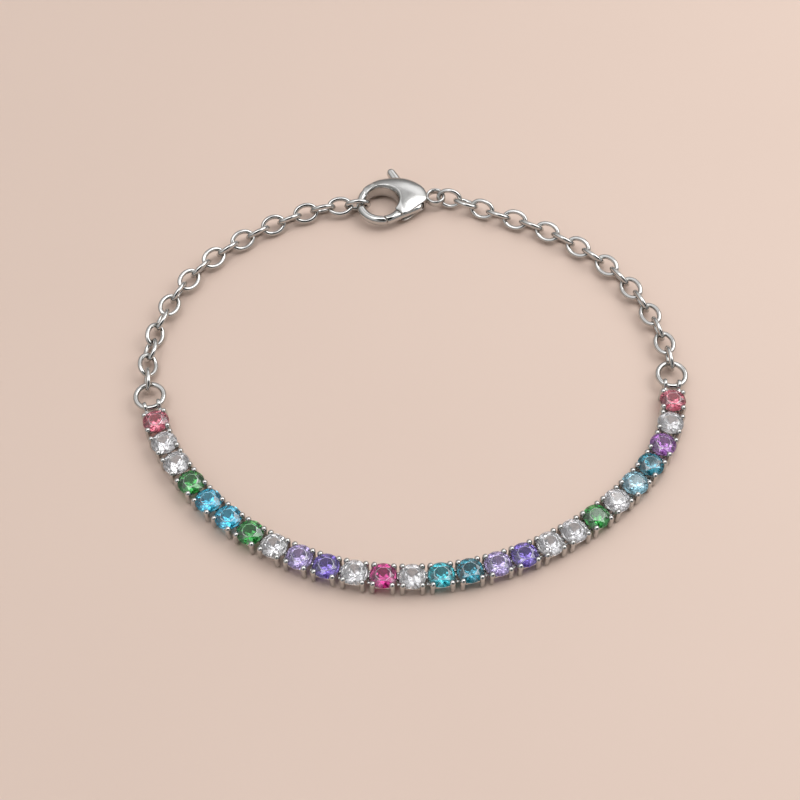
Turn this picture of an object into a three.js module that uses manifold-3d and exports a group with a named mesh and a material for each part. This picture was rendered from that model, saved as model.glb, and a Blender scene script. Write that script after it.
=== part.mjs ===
// Tennis bracelet, lying on a flat surface as one closed loop: a row of claw-set round stones on
// hinged settings, a jump ring at each end of the row, two cable chains and a lobster clasp.
// Millimetres, +Z up. The origin is the middle of the underside of the whole bracelet.

import * as THREE from 'three';
import { ConvexGeometry } from 'three/addons/geometries/ConvexGeometry.js';
import { mergeVertices } from 'three/addons/utils/BufferGeometryUtils.js';
import Module from 'manifold-3d';

const wasm = await Module();
wasm.setup();

// Stones
const STONE_WIDTH = 3.0;
const TABLE_SHARE = 0.56;
const CROWN_HEIGHT = 0.49;
const PAVILION_DEPTH = 1.3;
const CULET_HEIGHT = 0.41;
const GIRDLE_SIDES = 16;
const TABLE_SIDES = 8;

// Settings
const STONE_SPACE = 0.22;
const SEAT_GAP = 0.05;
const PRONG_RADIUS = 0.29;
const PRONG_LAP = 0.15;
const PRONG_ANGLE = 47.5;
const PRONG_RISE = 0.45;
const PRONG_DOME = 0.2;
const PRONG_SIDES = 5;
const GALLERY_OVERHANG = 0.08;
const GALLERY_HEIGHT = 1.05;
const GALLERY_THICKNESS = 0.28;
const HINGE_BAR = 0.26;
const HINGE_BAR_LENGTH = 1.64;
const HINGE_ARM = 0.32;
const HINGE_GAP = 0.12;
const LUG_WALL = 0.17;
const LUG_THICKNESS = 0.42;
const LUG_SIDES = 6;

// Jump rings at the ends of the row, and the ears that hold them
const RING_WIDTH = 4.0;
const RING_WIRE = 0.65;
const RING_HEIGHT = 1.25;
const RING_REACH = 2.3;
const EAR_SPACING = 1.66;
const EAR_THICKNESS = 0.42;
const EAR_WALL = 0.22;
const EAR_GAP = 0.1;
const EAR_ROOT_HEIGHT = 0.5;
const EAR_SIDES = 10;

// Cable chains
const LINK_PITCH = 2.3;
const LINK_WIRE = 0.6;
const LINK_WIDTH = 2.7;
const LINK_BITE = 0.06;
const LINK_SIDES = 5;
const LINK_STEPS = 10;
const RIGHT_LINKS = 18;
const LEFT_LINKS = 19;
const FACE_LEAN = 38;
const RING_TWIST = 38;
const RING_TWIST_LINKS = 6;
const HOOK_TWIST = -28;
const EYE_TWIST = 22;
const LIFTED_LINKS = 4;
const END_GAP = 0.16;

// Lobster clasp
const CLASP_REACH = 7.2;
const OPENING_RADIUS = 2.15;
const HOOK_WIRE = 1.2;
const BODY_THICKNESS = 2.7;
const BODY_RISE = 3.8;
const EYE_WIDTH = 2.7;
const EYE_WIRE = 0.46;
const HOOK_PULL = 170;
const HOOK_ROOT = 118;
const PIVOT_ALONG = 4.2;
const PIVOT_DROP = 0.8;
const HUB_RADIUS = 0.95;
const PIN_RADIUS = 0.4;
const PIN_FIT = 0.03;
const PIN_END_WALL = 0.35;
const LEVER_GAP = 0.08;
const LEVER_SWING = 22;
const SPLIT_GAP = 0.12;
const SPLIT_TURN = -89;
const SPLIT_OVERRUN = 12;
const GATE_EMBED = 6;
const GATE_ROOT = -62;
const THUMB_ALONG = 2.15;
const THUMB_RISE = 5.3;
const THUMB_RADIUS = 0.45;

// Half of the clasp body's outline, round from the root of the hook over the crown to the lobe.
// along is a share of CLASP_REACH and rise a share of BODY_RISE.
const BODY_OUTLINE = [
  { along: -0.3, rise: 0.63 },
  { along: -0.18, rise: 0.83 },
  { along: 0.0, rise: 0.965 },
  { along: 0.2, rise: 1.0 },
  { along: 0.38, rise: 0.968 },
  { along: 0.55, rise: 0.85 },
  { along: 0.7, rise: 0.64 },
  { along: 0.855, rise: 0.263 },
  { along: 0.815, rise: -0.3 },
  { along: 0.6, rise: -0.505 },
  { along: 0.41, rise: -0.676 },
  { along: 0.345, rise: -0.69 },
];

// Levels of the body's dome: height is a share of BODY_THICKNESS, size a share of the outline.
const BODY_LEVELS = [
  { height: 0, size: 0.86 },
  { height: 0.14, size: 0.97 },
  { height: 0.34, size: 1 },
  { height: 0.66, size: 1 },
  { height: 0.86, size: 0.92 },
  { height: 1, size: 0.72 },
];

// The route of the whole loop seen from above, clockwise from the hook, in few chosen points.
const ROUTE = [
  [-4.4, 29.4], [5.4, 30.7], [11.1, 28.5], [19.5, 24.6], [27.0, 18.4], [31.4, 10.1], [32.7, 1.7],
  [31.0, -6.3], [27.4, -11.8], [21.1, -17.5], [13.0, -21.9], [4.0, -24.1], [-6.2, -23.5],
  [-15.5, -19.6], [-22.7, -13.7], [-28.1, -5.7], [-30.2, 1.7], [-30.0, 8.7], [-25.8, 18.1],
  [-19.1, 24.3], [-10.9, 28.5],
];

// Stone colours from the left end of the row to the right end.
const STONE_ROW = [
  'rose', 'clear', 'clear', 'green', 'sky', 'sky', 'green', 'clear', 'lavender', 'violet', 'clear',
  'fuchsia', 'clear', 'aqua', 'teal', 'lavender', 'violet', 'clear', 'clear', 'green', 'clear',
  'ice', 'teal', 'orchid', 'clear', 'rose',
];
const STONE_COLOURS = {
  rose: '#d8527a',
  clear: '#eef0f6',
  green: '#4fb489',
  sky: '#7fc0ea',
  lavender: '#b9a3e0',
  violet: '#8a4fc8',
  fuchsia: '#d2189a',
  aqua: '#52cfe0',
  teal: '#0f8c9c',
  ice: '#a8d8f2',
  orchid: '#b768c4',
};
const METAL_COLOUR = '#dcdee2';

const WELD = 1e-5;
const MANY_SIDES = 20;
const SOME_SIDES = 12;
const WIRE_SIDES = 8;
const FEW_SIDES = 6;
const RING_STEPS = 14;

const degrees = THREE.MathUtils.degToRad;

// Closed solids from three.js geometries

function toSolid(geometry) {
  const bare = new THREE.BufferGeometry();
  bare.setAttribute('position', geometry.getAttribute('position'));
  if (geometry.index) bare.setIndex(geometry.index);
  const welded = mergeVertices(bare, WELD);
  const corners = [];
  const index = welded.index.array;
  for (let i = 0; i < index.length; i += 3) {
    const [a, b, c] = [index[i], index[i + 1], index[i + 2]];
    if (a !== b && b !== c && c !== a) corners.push(a, b, c);
  }
  return new wasm.Manifold(new wasm.Mesh({
    numProp: 3,
    vertProperties: new Float32Array(welded.getAttribute('position').array),
    triVerts: new Uint32Array(corners),
  }));
}

function toGeometry(solid) {
  const mesh = solid.getMesh();
  const geometry = new THREE.BufferGeometry();
  geometry.setAttribute('position', new THREE.BufferAttribute(new Float32Array(mesh.vertProperties), 3));
  geometry.setIndex(new THREE.BufferAttribute(new Uint32Array(mesh.triVerts), 1));
  const faceted = geometry.toNonIndexed();
  faceted.computeVertexNormals();
  return faceted;
}

function join(solids) {
  return solids.reduce((whole, solid) => whole.add(solid));
}

function circlePoints(radius, sides, z, x = 0, y = 0, turn = 0) {
  const points = [];
  for (let i = 0; i < sides; i += 1) {
    const angle = turn + (2 * Math.PI * i) / sides;
    points.push(new THREE.Vector3(x + radius * Math.cos(angle), y + radius * Math.sin(angle), z));
  }
  return points;
}

function hullSolid(points) {
  return toSolid(new ConvexGeometry(points));
}

function disc(radius, thickness, x, y, z, sides) {
  return hullSolid([
    ...circlePoints(radius, sides, z - thickness / 2, x, y),
    ...circlePoints(radius, sides, z + thickness / 2, x, y),
  ]);
}

// A flat plate round two or more round ends, such as an arm.
function roundEndedPlate(ends, thickness, z) {
  const points = ends.flatMap((end) => [z - thickness / 2, z + thickness / 2].flatMap(
    (level) => circlePoints(end.radius, SOME_SIDES, level, end.x, end.y),
  ));
  return hullSolid(points);
}

// A wire loop: a torus whose centre line is stretched to half lengths reachX and reachY, with the
// middle of a facet at each end.
function wireLoop(reachX, reachY, wire, sides, steps) {
  const loop = new THREE.TorusGeometry(reachY, wire / 2, sides, steps).rotateZ(Math.PI / steps);
  const place = loop.getAttribute('position');
  for (let i = 0; i < place.count; i += 1) {
    const x = place.getX(i);
    const radius = Math.hypot(x, place.getY(i));
    place.setX(i, x + ((reachX - reachY) * x) / radius);
  }
  return loop;
}

class ArcPath extends THREE.Curve {
  constructor(radius, start, end, z) {
    super();
    Object.assign(this, { radius, start, end, z });
  }

  getPoint(t, target = new THREE.Vector3()) {
    const angle = this.start + (this.end - this.start) * t;
    return target.set(this.radius * Math.cos(angle), this.radius * Math.sin(angle), this.z);
  }
}

function arcRod(radius, wire, start, end, z, steps) {
  const section = new THREE.Shape(
    circlePoints(wire / 2, WIRE_SIDES, 0, 0, 0, Math.PI / WIRE_SIDES).map((p) => new THREE.Vector2(p.x, p.y)),
  );
  const path = new ArcPath(radius, degrees(start), degrees(end), z);
  return toSolid(new THREE.ExtrudeGeometry(section, { steps, bevelEnabled: false, extrudePath: path }));
}

// Stones

const GIRDLE_HEIGHT = CULET_HEIGHT + PAVILION_DEPTH;

function stoneHull(scale, sides, turn) {
  const girdle = (scale * STONE_WIDTH) / 2;
  return new ConvexGeometry([
    ...circlePoints(TABLE_SHARE * girdle, TABLE_SIDES, scale * CROWN_HEIGHT, 0, 0, turn),
    ...circlePoints(girdle, sides, 0, 0, 0, turn),
    new THREE.Vector3(0, 0, -scale * PAVILION_DEPTH),
  ]).translate(0, 0, GIRDLE_HEIGHT);
}

// The room left for a stone: an eight-sided stone round the real one, larger by SEAT_GAP square
// to its crown, with a facet towards each prong.
const CROWN_RUN = (1 - TABLE_SHARE) * (STONE_WIDTH / 2);
const CROWN_DISTANCE = (CROWN_HEIGHT * STONE_WIDTH) / 2 / Math.hypot(CROWN_HEIGHT, CROWN_RUN);
const ROOM_SCALE = (1 + SEAT_GAP / CROWN_DISTANCE) / Math.cos(Math.PI / TABLE_SIDES);
const STONE_ROOM = toSolid(stoneHull(ROOM_SCALE, TABLE_SIDES, Math.PI / TABLE_SIDES));

// Settings: x runs along the row, y outwards, z up

const ROW_PITCH = STONE_WIDTH + STONE_SPACE;
const PRONG_REACH = STONE_WIDTH / 2 + PRONG_RADIUS - PRONG_LAP;
const PRONG_X = PRONG_REACH * Math.cos(degrees(PRONG_ANGLE));
const PRONG_Y = PRONG_REACH * Math.sin(degrees(PRONG_ANGLE));
const HINGE_HOLE = HINGE_BAR / Math.SQRT2 + HINGE_GAP / Math.cos(Math.PI / LUG_SIDES);
const LUG_RADIUS = HINGE_HOLE + LUG_WALL;
const GALLERY_X = ROW_PITCH / 2 - LUG_RADIUS - HINGE_GAP;
const GALLERY_Y = PRONG_Y + GALLERY_OVERHANG;

function prong(x, y) {
  const top = GIRDLE_HEIGHT + PRONG_RISE;
  const turn = Math.atan2(y, x);
  return hullSolid([
    ...circlePoints(PRONG_RADIUS, PRONG_SIDES, 0, x, y, turn),
    ...circlePoints(PRONG_RADIUS, PRONG_SIDES, top - PRONG_DOME, x, y, turn),
    new THREE.Vector3(x, y, top),
  ]);
}

function outlineSolid(outline, thickness) {
  return new THREE.ExtrudeGeometry(outline, { depth: thickness, bevelEnabled: false })
    .translate(0, 0, -thickness / 2);
}

// The outline of one end of the gallery plate, from its inner corner to its outer corner.
// A fork is a rectangle whose far side is the hinge bar; a lug is a tongue.
function galleryEnd(kind, side) {
  const barX = ROW_PITCH / 2;
  const profile = {
    fork: [[GALLERY_X, HINGE_BAR_LENGTH / 2], [barX + HINGE_BAR / 2, HINGE_BAR_LENGTH / 2]],
    lug: [[GALLERY_X, LUG_THICKNESS / 2], [barX - HINGE_HOLE - LUG_WALL / 2, LUG_THICKNESS / 2]],
    ears: [],
  }[kind];
  const half = [[GALLERY_X, GALLERY_Y], ...profile];
  const mirrored = half.map(([x, y]) => [x, -y]).reverse();
  return [...half, ...mirrored].map(([x, y]) => new THREE.Vector2(side * x, side * y));
}

function galleryPlate(ends) {
  const rim = [...galleryEnd(ends.front, 1), ...galleryEnd(ends.back, -1)];
  const outline = new THREE.Shape(rim.reverse());
  if (ends.front === 'fork') {
    const near = GALLERY_X - HINGE_GAP / 2;
    const far = (ROW_PITCH - HINGE_BAR) / 2;
    const halfGap = HINGE_BAR_LENGTH / 2 - HINGE_ARM;
    const corners = [[near, -halfGap], [near, halfGap], [far, halfGap], [far, -halfGap]];
    outline.holes.push(new THREE.Path(corners.map(([x, y]) => new THREE.Vector2(x, y))));
  }
  return toSolid(outlineSolid(outline, GALLERY_THICKNESS).translate(0, 0, GALLERY_HEIGHT));
}

// The eye at the end of the lug, round the next setting's hinge bar.
function lugEye(side) {
  const ringOf = (radius) => circlePoints(radius, LUG_SIDES, 0).map((p) => new THREE.Vector2(p.x, p.y));
  const outline = new THREE.Shape(ringOf(LUG_RADIUS));
  outline.holes.push(new THREE.Path(ringOf(HINGE_HOLE)));
  return toSolid(
    outlineSolid(outline, LUG_THICKNESS)
      .rotateX(Math.PI / 2)
      .translate((side * ROW_PITCH) / 2, 0, GALLERY_HEIGHT),
  );
}

const RING_RADIUS = (RING_WIDTH - RING_WIRE) / 2;
const RING_CENTRE = RING_REACH + RING_RADIUS;

// The two ears at an end of the row, bored for the jump ring that passes through both.
function ringEars(side) {
  const rootX = GALLERY_X - PRONG_RADIUS;
  const earX = RING_CENTRE - Math.sqrt(RING_RADIUS ** 2 - (EAR_SPACING / 2) ** 2);
  const earRadius = RING_WIRE / 2 + EAR_GAP + EAR_WALL;
  const profile = [
    ...circlePoints(earRadius, EAR_SIDES, 0, earX, RING_HEIGHT),
    new THREE.Vector3(rootX, RING_HEIGHT - EAR_ROOT_HEIGHT / 2, 0),
    new THREE.Vector3(rootX, RING_HEIGHT + EAR_ROOT_HEIGHT / 2, 0),
  ];
  const ears = [-EAR_SPACING / 2, EAR_SPACING / 2].map((y) => hullSolid(
    [y - EAR_THICKNESS / 2, y + EAR_THICKNESS / 2].flatMap(
      (face) => profile.map((p) => new THREE.Vector3(side * p.x, face, p.y)),
    ),
  ));
  const bore = toSolid(
    new THREE.TorusGeometry(RING_RADIUS, RING_WIRE / 2 + EAR_GAP, WIRE_SIDES, MANY_SIDES)
      .translate(side * RING_CENTRE, 0, RING_HEIGHT),
  );
  return join(ears).subtract(bore);
}

// ends.back and ends.front name what each end of the setting carries: fork, lug or ears.
function settingGeometry(ends) {
  const pieces = [galleryPlate(ends)];
  for (const x of [-PRONG_X, PRONG_X]) {
    for (const y of [-PRONG_Y, PRONG_Y]) pieces.push(prong(x, y));
  }
  for (const [kind, side] of [[ends.back, -1], [ends.front, 1]]) {
    if (kind === 'lug') pieces.push(lugEye(side));
    if (kind === 'ears') pieces.push(ringEars(side));
  }
  return toGeometry(join(pieces).subtract(STONE_ROOM));
}

// Chain links: x runs along the chain, z is square to the link's plane

const INNER_FACE = (LINK_WIRE / 2) * Math.cos(Math.PI / LINK_SIDES);
const LINK_REACH_X = (LINK_PITCH - LINK_BITE) / 2 / Math.cos(Math.PI / LINK_STEPS) + INNER_FACE;
const LINK_REACH_Y = (LINK_WIDTH - LINK_WIRE) / 2;

function chainSolid(places) {
  return join(places.map((place) => toSolid(
    wireLoop(LINK_REACH_X, LINK_REACH_Y, LINK_WIRE, LINK_SIDES, LINK_STEPS).applyMatrix4(place),
  )));
}

// Clasp: its origin is the middle of the hook's opening, x runs to the eye

const CLASP_HEIGHT = BODY_THICKNESS / 2;
const HOOK_PATH = OPENING_RADIUS + HOOK_WIRE / 2;
const EYE_RADIUS = (EYE_WIDTH - EYE_WIRE) / 2;
const PIVOT = { x: PIVOT_ALONG, y: -PIVOT_DROP };

// Everything on one side of the split between hook and gate, and the gap itself. The split follows the path on which
// the gate's end starts to swing, so that the gate leaves the hook without rubbing.
function besideSplit(side) {
  const split = degrees(SPLIT_TURN);
  const x = HOOK_PATH * Math.cos(split);
  const y = HOOK_PATH * Math.sin(split);
  const outwards = Math.atan2(y - PIVOT.y, x - PIVOT.x);
  const size = 2 * OPENING_RADIUS;
  const block = new THREE.BoxGeometry(size, size, size)
    .translate((side * (size - SPLIT_GAP)) / 2, 0, 0)
    .rotateZ(outwards)
    .translate(x, y, CLASP_HEIGHT);
  return toSolid(block);
}

// The lever seen from above: a hub on the pin, an arm that ends in the gate and one that ends in
// the thumb piece. Each arm is a list of round ends, and swings lists the lever's angles.
function leverShape(grow, thickness, swings) {
  const hub = { x: PIVOT.x, y: PIVOT.y, radius: HUB_RADIUS + grow };
  const gate = {
    x: HOOK_PATH * Math.cos(degrees(GATE_ROOT)),
    y: HOOK_PATH * Math.sin(degrees(GATE_ROOT)),
    radius: HOOK_WIRE / 2 + grow,
  };
  const thumb = { x: THUMB_ALONG, y: THUMB_RISE, radius: THUMB_RADIUS + grow };
  const thumbRoot = { x: PIVOT.x, y: PIVOT.y, radius: THUMB_RADIUS + grow };
  const arms = [[hub, gate], [thumbRoot, thumb]];
  return join(arms.map(([root, tip]) => {
    const tips = swings.map((angle) => turnedAboutPivot(tip, angle));
    return roundEndedPlate([root, ...tips], thickness, CLASP_HEIGHT);
  }));
}

function turnedAboutPivot(end, angle) {
  const place = new THREE.Vector2(end.x, end.y).rotateAround(new THREE.Vector2(PIVOT.x, PIVOT.y), angle);
  return { x: place.x, y: place.y, radius: end.radius };
}

function claspBody() {
  const outline = BODY_OUTLINE.map((row) => ({ x: row.along * CLASP_REACH, y: row.rise * BODY_RISE }));
  const middle = {
    x: outline.reduce((sum, p) => sum + p.x, 0) / outline.length,
    y: outline.reduce((sum, p) => sum + p.y, 0) / outline.length,
  };
  const shellPoints = [];
  for (const level of BODY_LEVELS) {
    for (const p of outline) {
      shellPoints.push(new THREE.Vector3(
        middle.x + (p.x - middle.x) * level.size,
        middle.y + (p.y - middle.y) * level.size,
        level.height * BODY_THICKNESS,
      ));
    }
  }
  const opening = disc(OPENING_RADIUS, 2 * BODY_THICKNESS, 0, 0, CLASP_HEIGHT, MANY_SIDES);
  const shell = hullSolid(shellPoints).subtract(opening);
  const hookEnd = 360 + SPLIT_TURN + SPLIT_OVERRUN;
  const hook = arcRod(HOOK_PATH, HOOK_WIRE, HOOK_ROOT, hookEnd, CLASP_HEIGHT, SOME_SIDES)
    .subtract(besideSplit(-1));
  const eye = toSolid(
    new THREE.TorusGeometry(EYE_RADIUS, EYE_WIRE / 2, FEW_SIDES, SOME_SIDES)
      .translate(CLASP_REACH, 0, CLASP_HEIGHT),
  );
  const eyeRoom = disc(EYE_RADIUS, 2 * BODY_THICKNESS, CLASP_REACH, 0, CLASP_HEIGHT, SOME_SIDES);
  const slot = leverShape(LEVER_GAP, HOOK_WIRE + 2 * LEVER_GAP, [0, degrees(-LEVER_SWING)]);
  const pinHole = disc(
    PIN_RADIUS + PIN_FIT,
    BODY_THICKNESS - 2 * PIN_END_WALL + 2 * PIN_FIT,
    PIVOT.x,
    PIVOT.y,
    CLASP_HEIGHT,
    SOME_SIDES,
  );
  const body = join([shell.subtract(eyeRoom), hook, eye]);
  return body.subtract(slot).subtract(pinHole);
}

function claspLever() {
  const [from, to] = [SPLIT_TURN - SPLIT_OVERRUN, GATE_ROOT + GATE_EMBED];
  const gate = arcRod(HOOK_PATH, HOOK_WIRE, from, to, CLASP_HEIGHT, FEW_SIDES);
  const pinHole = disc(PIN_RADIUS + 2 * PIN_FIT, 2 * HOOK_WIRE, PIVOT.x, PIVOT.y, CLASP_HEIGHT, SOME_SIDES);
  return leverShape(0, HOOK_WIRE, [0]).add(gate.subtract(besideSplit(1))).subtract(pinHole);
}

function claspPin() {
  return disc(PIN_RADIUS, BODY_THICKNESS - 2 * PIN_END_WALL, PIVOT.x, PIVOT.y, CLASP_HEIGHT, SOME_SIDES);
}

// The walk round the loop: each piece is a straight step between two points of the route

const END_STEP = ROW_PITCH / 2 + RING_CENTRE + RING_RADIUS - RING_WIRE / 2 - END_GAP;
const HOOK_CONTACT = new THREE.Vector2(OPENING_RADIUS - END_GAP, 0)
  .rotateAround(new THREE.Vector2(), degrees(HOOK_PULL));
const EYE_CONTACT = new THREE.Vector2(CLASP_REACH + EYE_RADIUS - EYE_WIRE / 2 - END_GAP, 0);
const STEPS = [
  HOOK_CONTACT.distanceTo(EYE_CONTACT),
  ...Array(RIGHT_LINKS).fill(LINK_PITCH),
  END_STEP,
  ...Array(STONE_ROW.length - 2).fill(ROW_PITCH),
  END_STEP,
  ...Array(LEFT_LINKS).fill(LINK_PITCH),
];

function walk(curve, factor) {
  const pointAt = (t) => curve.getPoint(t % 1).multiplyScalar(factor);
  const stride = 0.001;
  const halvings = 30;
  const joints = [pointAt(0)];
  let t = 0;
  for (const step of STEPS) {
    const from = joints[joints.length - 1];
    let near = t;
    let far = t + stride;
    while (pointAt(far).distanceTo(from) < step) {
      near = far;
      far += stride;
    }
    for (let i = 0; i < halvings; i += 1) {
      const middle = (near + far) / 2;
      if (pointAt(middle).distanceTo(from) < step) near = middle;
      else far = middle;
    }
    t = far;
    joints.push(pointAt(t));
  }
  return { joints, turns: t };
}

// The route is scaled until the last step ends where the first began.
function closedWalk() {
  const curve = new THREE.CatmullRomCurve3(ROUTE.map(([x, y]) => new THREE.Vector3(x, y, 0)), true);
  let small = 0.25;
  let large = 4;
  const halvings = 40;
  for (let i = 0; i < halvings; i += 1) {
    const factor = (small + large) / 2;
    if (walk(curve, factor).turns > 1) small = factor;
    else large = factor;
  }
  return walk(curve, (small + large) / 2).joints;
}

const JOINTS = closedWalk();

function stepAt(index) {
  const from = JOINTS[index];
  const to = JOINTS[index + 1];
  return { from, to, ahead: to.clone().sub(from).normalize() };
}

function placement(centre, ahead, normal) {
  const across = normal.clone().cross(ahead);
  return new THREE.Matrix4().makeBasis(ahead, across, normal).setPosition(centre);
}

// A chain lies taut: its links turn their faces to the front, and each is a quarter turn from the
// next. twist(i) adds to the roll, and lift(i) is the share of the clasp's height at link i.
function chainPlaces(firstStep, count, firstIsFace, twist, lift) {
  const lean = new THREE.Vector3(0, -Math.sin(degrees(FACE_LEAN)), Math.cos(degrees(FACE_LEAN)));
  const places = [];
  for (let i = 0; i < count; i += 1) {
    const { from, to, ahead } = stepAt(firstStep + i);
    const normal = lean.clone().addScaledVector(ahead, -lean.dot(ahead)).normalize();
    normal.applyAxisAngle(ahead, degrees(twist(i)));
    const side = normal.clone().cross(ahead);
    const rest = LINK_WIRE / 2 + LINK_REACH_Y * Math.max(Math.abs(normal.z), Math.abs(side.z));
    const centre = from.clone().add(to).multiplyScalar(0.5);
    centre.z = THREE.MathUtils.lerp(rest, CLASP_HEIGHT, lift(i));
    const isFace = (i % 2 === 0) === firstIsFace;
    places.push(placement(centre, ahead, isFace ? normal : side));
  }
  return places;
}

// The bracelet

const bracelet = new THREE.Group();

function metal() {
  return new THREE.MeshStandardMaterial({ color: METAL_COLOUR, roughness: 0.18, metalness: 1 });
}

function addPiece(name, geometry, material, place) {
  const mesh = new THREE.Mesh(geometry, material);
  mesh.name = name;
  if (place) mesh.applyMatrix4(place);
  bracelet.add(mesh);
}

const UP = new THREE.Vector3(0, 0, 1);
const CHAIN_RIGHT_STEP = 1;
const ROW_STEP = CHAIN_RIGHT_STEP + RIGHT_LINKS;
const CHAIN_LEFT_STEP = ROW_STEP + STONE_ROW.length;
const LAST = STONE_ROW.length - 1;

function settingPlace(step, position) {
  const { from, to, ahead } = stepAt(step);
  const centre = position === 0
    ? to.clone().addScaledVector(ahead, -ROW_PITCH / 2)
    : from.clone().addScaledVector(ahead, ROW_PITCH / 2);
  return placement(centre, ahead, UP);
}

// The row is walked from its right end, and its stones are numbered from the left.
STONE_ROW.forEach((_, position) => {
  const number = String(STONE_ROW.length - position).padStart(2, '0');
  const colour = STONE_ROW[STONE_ROW.length - 1 - position];
  const place = settingPlace(ROW_STEP + position, position);
  const ends = { back: position === 0 ? 'ears' : 'lug', front: position === LAST ? 'ears' : 'fork' };
  addPiece(`setting_${number}`, settingGeometry(ends), metal(), place);
  const gem = new THREE.MeshStandardMaterial({ color: STONE_COLOURS[colour], roughness: 0.05, metalness: 0 });
  addPiece(`stone_${number}`, toGeometry(toSolid(stoneHull(1, GIRDLE_SIDES, 0))), gem, place);
});

function jumpRing(name, step, position, side) {
  const place = settingPlace(step, position);
  place.multiply(new THREE.Matrix4().makeTranslation(side * RING_CENTRE, 0, RING_HEIGHT));
  addPiece(name, wireLoop(RING_RADIUS, RING_RADIUS, RING_WIRE, LINK_SIDES, RING_STEPS), metal(), place);
}

jumpRing('ring_right', ROW_STEP, 0, -1);
jumpRing('ring_left', ROW_STEP + LAST, LAST, 1);

const rightPlaces = chainPlaces(
  CHAIN_RIGHT_STEP,
  RIGHT_LINKS,
  true,
  (i) => EYE_TWIST * Math.max(0, 1 - i / LIFTED_LINKS),
  (i) => Math.max(0, 1 - (i + 0.5) / LIFTED_LINKS),
);
addPiece('chain_right', toGeometry(chainSolid(rightPlaces)), metal());

const leftPlaces = chainPlaces(
  CHAIN_LEFT_STEP,
  LEFT_LINKS,
  false,
  (i) => {
    const fromRing = (i + 1) / RING_TWIST_LINKS;
    const fromHook = (LEFT_LINKS - i - 0.5) / LIFTED_LINKS;
    const ringTwist = fromRing < 1 ? RING_TWIST * Math.sin(Math.PI * fromRing) : 0;
    return ringTwist + HOOK_TWIST * Math.max(0, 1 - fromHook);
  },
  (i) => Math.max(0, 1 - (LEFT_LINKS - i - 0.5) / LIFTED_LINKS),
);
addPiece('chain_left', toGeometry(chainSolid(leftPlaces)), metal());

// The clasp is placed so that its hook and eye contacts lie at the ends of its step.
const claspStep = stepAt(0);
const claspLine = EYE_CONTACT.clone().sub(HOOK_CONTACT);
const claspTurn = Math.atan2(claspStep.ahead.y, claspStep.ahead.x) - Math.atan2(claspLine.y, claspLine.x);
const claspPlace = new THREE.Matrix4().makeTranslation(claspStep.from.x, claspStep.from.y, 0)
  .multiply(new THREE.Matrix4().makeRotationZ(claspTurn))
  .multiply(new THREE.Matrix4().makeTranslation(-HOOK_CONTACT.x, -HOOK_CONTACT.y, 0));
addPiece('clasp_body', toGeometry(claspBody()), metal(), claspPlace);
addPiece('clasp_lever', toGeometry(claspLever()), metal(), claspPlace);
addPiece('clasp_pin', toGeometry(claspPin()), metal(), claspPlace);

// The origin is brought to the middle of the underside.
bracelet.updateMatrixWorld(true);
const bounds = new THREE.Box3().setFromObject(bracelet, true);
const middle = bounds.getCenter(new THREE.Vector3());
bracelet.position.set(-middle.x, -middle.y, -bounds.min.z);

export default bracelet;
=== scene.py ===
"""A tennis bracelet lying closed on a plain floor: its stones, settings, rings, chains and clasp."""

import math
from types import SimpleNamespace

import bpy
from bpy.props import FloatProperty, FloatVectorProperty, PointerProperty
from mathutils import Matrix, Vector


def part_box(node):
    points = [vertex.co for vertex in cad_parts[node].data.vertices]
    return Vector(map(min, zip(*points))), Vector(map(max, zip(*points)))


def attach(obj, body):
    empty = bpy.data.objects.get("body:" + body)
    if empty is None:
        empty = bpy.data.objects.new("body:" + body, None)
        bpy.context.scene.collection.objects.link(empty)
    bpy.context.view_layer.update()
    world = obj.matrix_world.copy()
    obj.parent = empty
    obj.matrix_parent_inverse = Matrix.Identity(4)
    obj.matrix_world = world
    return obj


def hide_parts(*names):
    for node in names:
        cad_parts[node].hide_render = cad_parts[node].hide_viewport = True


bl_info = {
    "name": "Tennis Bracelet",
    "version": (1, 0, 0),
    "blender": (4, 5, 0),
    "location": "3D View > Sidebar > Bracelet",
    "description": "Builds the visible pieces of a tennis bracelet with claw-set stones and a lobster clasp",
    "category": "Object",
}

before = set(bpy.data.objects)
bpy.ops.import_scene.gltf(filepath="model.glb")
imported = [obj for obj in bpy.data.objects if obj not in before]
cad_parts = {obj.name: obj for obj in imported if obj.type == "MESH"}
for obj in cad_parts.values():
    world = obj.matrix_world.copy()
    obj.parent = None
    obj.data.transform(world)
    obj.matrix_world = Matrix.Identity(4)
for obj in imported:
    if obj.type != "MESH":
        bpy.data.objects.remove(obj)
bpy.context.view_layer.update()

MM = 0.001
TURN = 2 * math.pi

STONE_ROW = (
    "rose", "clear", "clear", "green", "sky", "sky", "green", "clear", "lavender", "violet", "clear",
    "fuchsia", "clear", "aqua", "teal", "lavender", "violet", "clear", "clear", "green", "clear",
    "ice", "teal", "orchid", "clear", "rose",
)
RIGHT_LINKS = 18
LEFT_LINKS = 19
LIFTED_LINKS = 4
RING_TWIST_LINKS = 6

# The loop's route seen from above, clockwise from the clasp's hook, in millimetres.
ROUTE = (
    (-4.4, 29.4), (5.4, 30.7), (11.1, 28.5), (19.5, 24.6), (27.0, 18.4), (31.4, 10.1), (32.7, 1.7),
    (31.0, -6.3), (27.4, -11.8), (21.1, -17.5), (13.0, -21.9), (4.0, -24.1), (-6.2, -23.5),
    (-15.5, -19.6), (-22.7, -13.7), (-28.1, -5.7), (-30.2, 1.7), (-30.0, 8.7), (-25.8, 18.1),
    (-19.1, 24.3), (-10.9, 28.5),
)

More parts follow.
